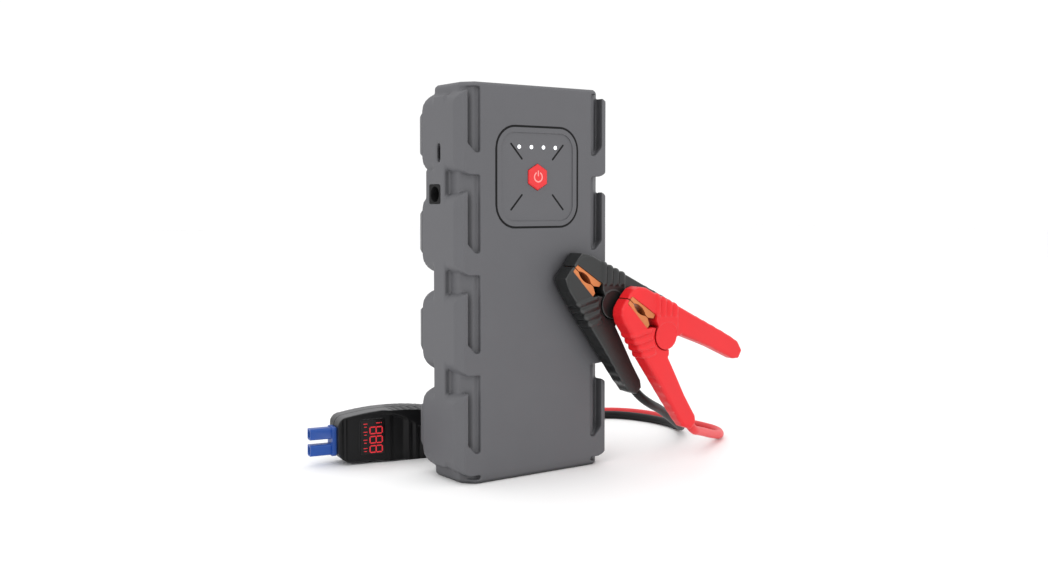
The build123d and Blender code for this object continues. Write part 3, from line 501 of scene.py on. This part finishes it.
def shape_arm(obj, pivot, side, round_nose, growth):
    """Ribs over the jaw, a raised band down to the disc, and a handle that thins to its end."""
    place, normal = points_of(obj.data)
    local = (place - np.array(pivot)) @ clamp_axes.T
    facing = normal @ clamp_axes.T
    x, y, z = local[:, 0], local[:, 1] * side, local[:, 2]
    out_y = facing[:, 1] * side
    across = lean_cos * x + lean_sin * y
    along = lean_cos * y - lean_sin * x
    band = between(across, (-9.0, -8.0), (8.4, 9.4))
    ribs_start = (11.0, 12.2) if side > 0 else (9.4, 10.6)
    in_ribs = band * step(along, *ribs_start)
    outside = np.maximum(step(np.abs(facing[:, 2]), 0.25, 0.5), step(out_y, 0.2, 0.5))
    rib_height, rib_sink, rib_phase = 1.2, 0.45, 6.9
    wave = 0.5 + 0.5 * np.cos(2 * math.pi * (across + rib_phase) / rib_pitch)
    relief = in_ribs * outside * (rib_height * wave ** 0.6 - rib_sink)
    # Faint scallops along the handle's outer edge.
    scallop_height, scallop_pitch = 0.16, 7.2
    on_edge = step(out_y, 0.5, 0.9) * between(x, (8, 12), (44, 48))
    relief += on_edge * scallop_height * np.cos(2 * math.pi * x / scallop_pitch)
    # The outline is rounded over, the handle thins to its end and a soft nose to its tip.
    radius = 2.0 if round_nose else 0.8
    depth = np.clip(distance_to(arm_line(growth), x, y), 0, radius)
    rounded = 1 - (radius - np.sqrt(radius ** 2 - (radius - depth) ** 2)) / arm_half
    handle_taper, nose_taper = 0.30, 0.14
    thin = 1 - handle_taper * step(x, 9, 52)
    if round_nose:
        thin = thin - nose_taper * step(-x, 27, 37)
    local = local + facing * relief[:, None]
    local[:, 2] *= thin * rounded
    if round_nose and side > 0:
        local += np.outer(step(x, 26, 54), free_handle_reach)
    if side > 0:
        band_height = 0.7
        raised = band * step(along, -1, 1) * step(np.abs(z), 5.0, 5.5)
        local[:, 2] += np.sign(z) * band_height * raised * step(np.hypot(x, y), 7.9, 8.3)
    set_points(obj.data, local @ clamp_axes + np.array(pivot))


for colour, pivot in pivots.items():
    round_nose = colour == "red"
    for which, side in (("free", 1), ("lead", -1)):
        base = welded(nodes[f"{colour}_{which}_arm"])
        if not round_nose:
            prism(base, black_nose, arm_half, pivot, side)
        arm = moulded(f"{colour}_{which}_grip", base, arm_voxel,
                      rounds=6 if round_nose else 2)
        shape_arm(arm, pivot, side, round_nose, handle_growth[colour])
        smooth(arm, 2)
        body = f"{colour}_free_side" if which == "free" else "root"
        finished(arm, body, f"clamp_{colour}", f"{colour}_{which}_arm")
        plate_node = f"{colour}_{which}_jaw"
        plate = moulded(f"{colour}_{which}_plate", welded(nodes[plate_node]), plate_voxel,
                        rounds=2)
        finished(plate, body, "jaw_copper", plate_node)


# ---------------------------------------------------------------- control box of the lead set
# The box's own axes: X from the plug to the leads, Y to the viewer, Z up.
turn = math.radians(-10)
box_origin = np.array((-83.4, 68.2, 0))
box_axes = np.array([
    (math.cos(turn), math.sin(turn), 0),
    (math.sin(turn), -math.cos(turn), 0),
    (0, 0, 1),
])


def bump_at(value, middle, width):
    """1 at the middle, falling smoothly to nothing on both sides."""
    return np.exp(-((value - middle) / width) ** 2)


def arch_height(x):
    """The arched lip over the recessed face, lowest at the lead end."""
    top_x, top_z = 24, 30.2
    return top_z - np.where(x < top_x, 0.0045, 0.0135) * (x - top_x) ** 2


def shape_box(obj):
    """A recessed face under an arched lip, a waist, upright grip ridges and slanting grooves."""
    place, normal = points_of(obj.data)
    local = (place - box_origin) @ box_axes.T
    facing = normal @ box_axes.T
    x, y, z = local.T
    face = step(np.abs(facing[:, 1]), 0.55, 0.8) * step(np.abs(y), 8.9, 9.3)
    recess_depth, notch_depth, waist_depth, ridge_height = 0.9, 0.7, 1.0, 1.0
    notch_x, notch_width = 3.6, 0.9
    ridges_x, ridge_pitch = 41.6, 4.7
    inward = recess_depth * between(x, (4.4, 5.6), (73, 77))
    inward += notch_depth * bump_at(x, notch_x, notch_width)
    inward += waist_depth * between(x, (32.2, 34.5), (40.5, 43.5))
    ridges = 0.5 - 0.5 * np.cos(2 * math.pi * (x - ridges_x) / ridge_pitch)
    inward -= ridge_height * ridges * between(x, (ridges_x, 43), (71, 74))
    below = 1 - step(z - arch_height(x), -1.1, 0.0)
    local[:, 1] -= np.sign(y) * inward * below * face
    # Beyond the window the crown slopes down to the arched edge.
    crown_drop = 2.6
    upper = step(facing[:, 2], 0.3, 0.6) * step(z, 18, 22)
    local[:, 2] -= crown_drop * upper * step(y, -2, 8.5) * between(x, (26, 44), (60, 76))
    # Slanting grooves over the crown, from the waist to the lead end.
    groove_depth, groove_pitch, groove_x, groove_slant = 0.9, 4.9, 40, 0.75
    top = step(facing[:, 2], 0.4, 0.7) * step(z, 17, 21) * between(x, (30, 35), (73, 76))
    slant = x - groove_slant * y - groove_x
    groove = np.clip(np.cos(2 * math.pi * slant / groove_pitch), 0, 1) ** 2
    local[:, 2] -= groove_depth * groove * top * (1 - step(np.abs(y), 7.6, 9.0))
    set_points(obj.data, local @ box_axes + box_origin)


for which in ("front", "rear"):
    shell_node = f"box_{which}_shell"
    shell = moulded(f"box_{which}_skin", welded(nodes[shell_node]), box_voxel, rounds=5)
    shape_box(shell)
    smooth(shell, 2)
    finished(shell, "root", "box_charcoal", shell_node)


def slab(shape, outline, low, high):
    """Adds an upright slab to a bmesh: an outline in the box's X and Z, between two depths."""
    rims = [[shape.verts.new((np.array((x, y, z)) @ box_axes + box_origin) * MM)
             for x, z in outline] for y in (low, high)]
    close_slab(shape, rims)


def bar(middle_x, middle_z, length, width, upright):
    """A pointed display segment."""
    a, b = length / 2, width / 2
    outline = [(-a, 0), (-a + b, b), (a - b, b), (a, 0), (a - b, -b), (-a + b, -b)]
    if upright:
        outline = [(v, u) for u, v in outline]
    return [(middle_x + u, middle_z + v) for u, v in outline]


window_face = 9.1


def segments_piece(name, bars, thickness):
    """Display segments on the window's face, with this height over it."""
    shape = bmesh.new()
    for outline in bars:
        slab(shape, outline, window_face, window_face + thickness)
    fixed_piece(name, shape, "display_red")


# Each digit lies on its side: it is tall along X and narrow along Z.
digit_tall, digit_wide, stroke, segment_gap = 7.6, 3.9, 0.75, 0.25
digit_x = 23.2
lit = []
for digit_z in (8.7, 14.3, 19.9):
    for side in (-1, 1):
        for half in (-1, 1):
            lit.append(bar(digit_x + half * digit_tall / 4, digit_z + side * digit_wide / 2,
                           digit_tall / 2 - segment_gap, stroke, False))
    for end in (-1, 0, 1):
        lit.append(bar(digit_x + end * digit_tall / 2, digit_z, digit_wide - segment_gap, stroke,
                       True))
# A unit bar and a point beyond the last digit.
unit_z, unit_stroke = 24.2, 0.55
lit.append(bar(24.4, unit_z, 2.6, unit_stroke, False))
lit.append(bar(26.4, unit_z, 0.9, unit_stroke, False))
segments_piece("display_digits", lit, 0.18)
# Long and short marks in turn beside the digits.
mark_x, mark_stroke = 16.6, 0.45
marks = []
for k, mark_z in enumerate((7.6, 9.4, 12.6, 14.4, 17.4, 19.2, 22.2, 24.0)):
    marks.append(bar(mark_x, mark_z, 2.6 if k % 2 else 1.8, mark_stroke, False))
segments_piece("display_marks", marks, 0.16)
soften(nodes["display_window"], 0.5, segments=3)


# ---------------------------------------------------------------- leads
def mm(points):
    """Points given in millimetres, in metres."""
    return [tuple(c * MM for c in p) for p in points]


black_route = mm([
    (3.64, 49.30, 13), (24, 45.6, 9.0), (45, 49.5, 2.75), (68, 63, 2.75), (93, 79, 2.75),
    (121, 90, 2.75), (143, 86, 2.75), (154, 68, 2.75), (158, 45, 2.75), (154, 22, 2.75),
    (139, 5, 7.0), (116, -10, 17.5), (95.5, -21.5, 27.5), (80.5, -29.0, 33.2),
    (69.75, -31.2, 39.54), (66.41, -31.2, 43.26),
])
red_route = mm([
    (4.86, 56.19, 13), (26, 54, 8.0), (47, 61.5, 2.75), (69, 76, 2.75), (95, 92, 2.75),
    (124, 102, 2.75), (149, 98, 2.75), (164, 80, 2.75), (168, 58, 2.75), (167, 37, 2.75),
    (168, 16, 2.75), (166, -2, 2.75), (156, -14.5, 2.75), (140, -23.5, 6.5), (123, -33, 11.5),
    (110, -40.5, 15.2), (101.6, -45.4, 17.09), (98.25, -45.4, 20.81),
])
lead_diameter = 0.0054


def lead(name, route, colour):
    """A smooth cord on its route, from the box's boot to the lead arm of its clamp."""
    slot = f"lead_{colour}"
    curve = bpy.data.curves.new(name, "CURVE")
    curve.dimensions = "3D"
    curve.resolution_u = 16
    curve.bevel_depth = lead_diameter / 2
    curve.bevel_resolution = 6
    curve.use_fill_caps = True
    line = curve.splines.new("NURBS")
    line.points.add(len(route) - 1)
    for point, place in zip(line.points, route):
        point.co = (*place, 1)
    line.order_u = 3
    line.use_endpoint_u = True
    cord = bpy.data.objects.new(name, curve)
    scene.collection.objects.link(cord)
    cord.data.materials.append(finishes[slot])
    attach(cord, "root")
    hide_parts(f"{colour}_lead")


lead("black_lead_cord", black_route, "black")
lead("red_lead_cord", red_route, "red")

# ---------------------------------------------------------------- floor
floor_half = 6
floor_mesh = bpy.data.meshes.new("floor")
floor_mesh.from_pydata([(-floor_half, -floor_half, 0), (floor_half, -floor_half, 0),
                        (floor_half, floor_half, 0), (-floor_half, floor_half, 0)],
                       [], [(0, 1, 2, 3)])
floor = bpy.data.objects.new("floor", floor_mesh)
scene.collection.objects.link(floor)
floor_finish = material("floor", (0.955, 0.955, 0.955), 0.75, grain=200, bump=0, spread=0.01)
floor.data.materials.append(floor_finish)
